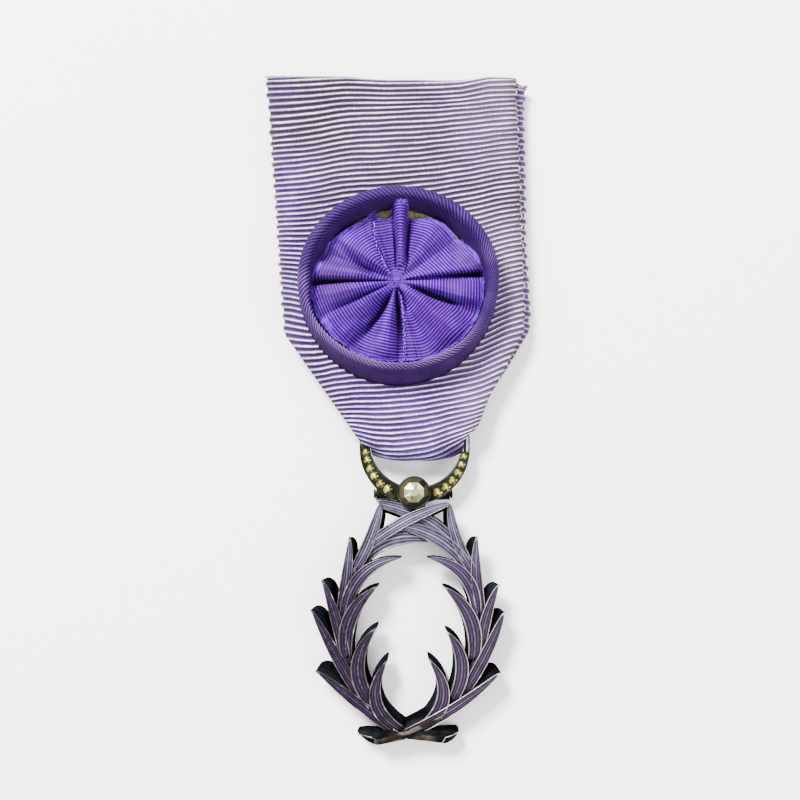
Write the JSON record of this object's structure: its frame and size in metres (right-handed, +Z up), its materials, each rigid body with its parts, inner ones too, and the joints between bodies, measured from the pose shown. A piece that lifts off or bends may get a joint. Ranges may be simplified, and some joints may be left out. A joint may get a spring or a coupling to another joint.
{
  "type": "order medal",
  "caption": "Order medal on a folded ribbed ribbon with a rosette: a dark crescent bail set with faceted stones carries a hinged wreath of two crossing enamelled palms.",
  "frame": {"origin": "centre of the bounding box in plan, on the table the medal lies on", "axes": "+X to the right, +Y towards the ribbon's top edge, +Z up from the table through the front of the medal"},
  "size_m": [0.0401, 0.1011, 0.0086],
  "materials": {
    "ribbed_silk": "ribbed silk, pale ribs over violet valleys",
    "twill_silk": "twill silk, matt",
    "violet_silk": "fine ribbed silk",
    "gold_card": "dull",
    "dark_silver": "blackened, worn bright at the edges",
    "pin_silver": "satin",
    "enamelled_silver": "translucent violet enamel between raised silver edges",
    "pale_stone": "polished facets",
    "gold_stone": "polished facets"
  },
  "bodies": {
    "ribbon_and_bail": {"ribbon": "ribbed_silk", "rosette_ring": "twill_silk", "rosette_pleats": "violet_silk", "rosette_card": "gold_card", "crescent": "dark_silver", "centre_stone": "pale_stone", "stone_left_1": "gold_stone", "stone_left_2": "gold_stone", "stone_left_3": "gold_stone", "stone_left_4": "gold_stone", "stone_left_5": "gold_stone", "stone_left_6": "gold_stone", "stone_right_1": "gold_stone", "stone_right_2": "gold_stone", "stone_right_3": "gold_stone", "stone_right_4": "gold_stone", "stone_right_5": "gold_stone", "stone_right_6": "gold_stone", "hinge_pin": "pin_silver", "coat_pin": "pin_silver"},
    "palm_wreath": {"wreath": "enamelled_silver", "wreath_knuckle": "dark_silver"}
  },
  "joints": [
    {"name": "wreath_hinge", "type": "hinge", "parent": "ribbon_and_bail", "child": "palm_wreath", "pos_m": [0.0023, -0.01255, 0.0009], "axis": [1, 0, 0], "range_deg": [0, 80]}
  ]
}
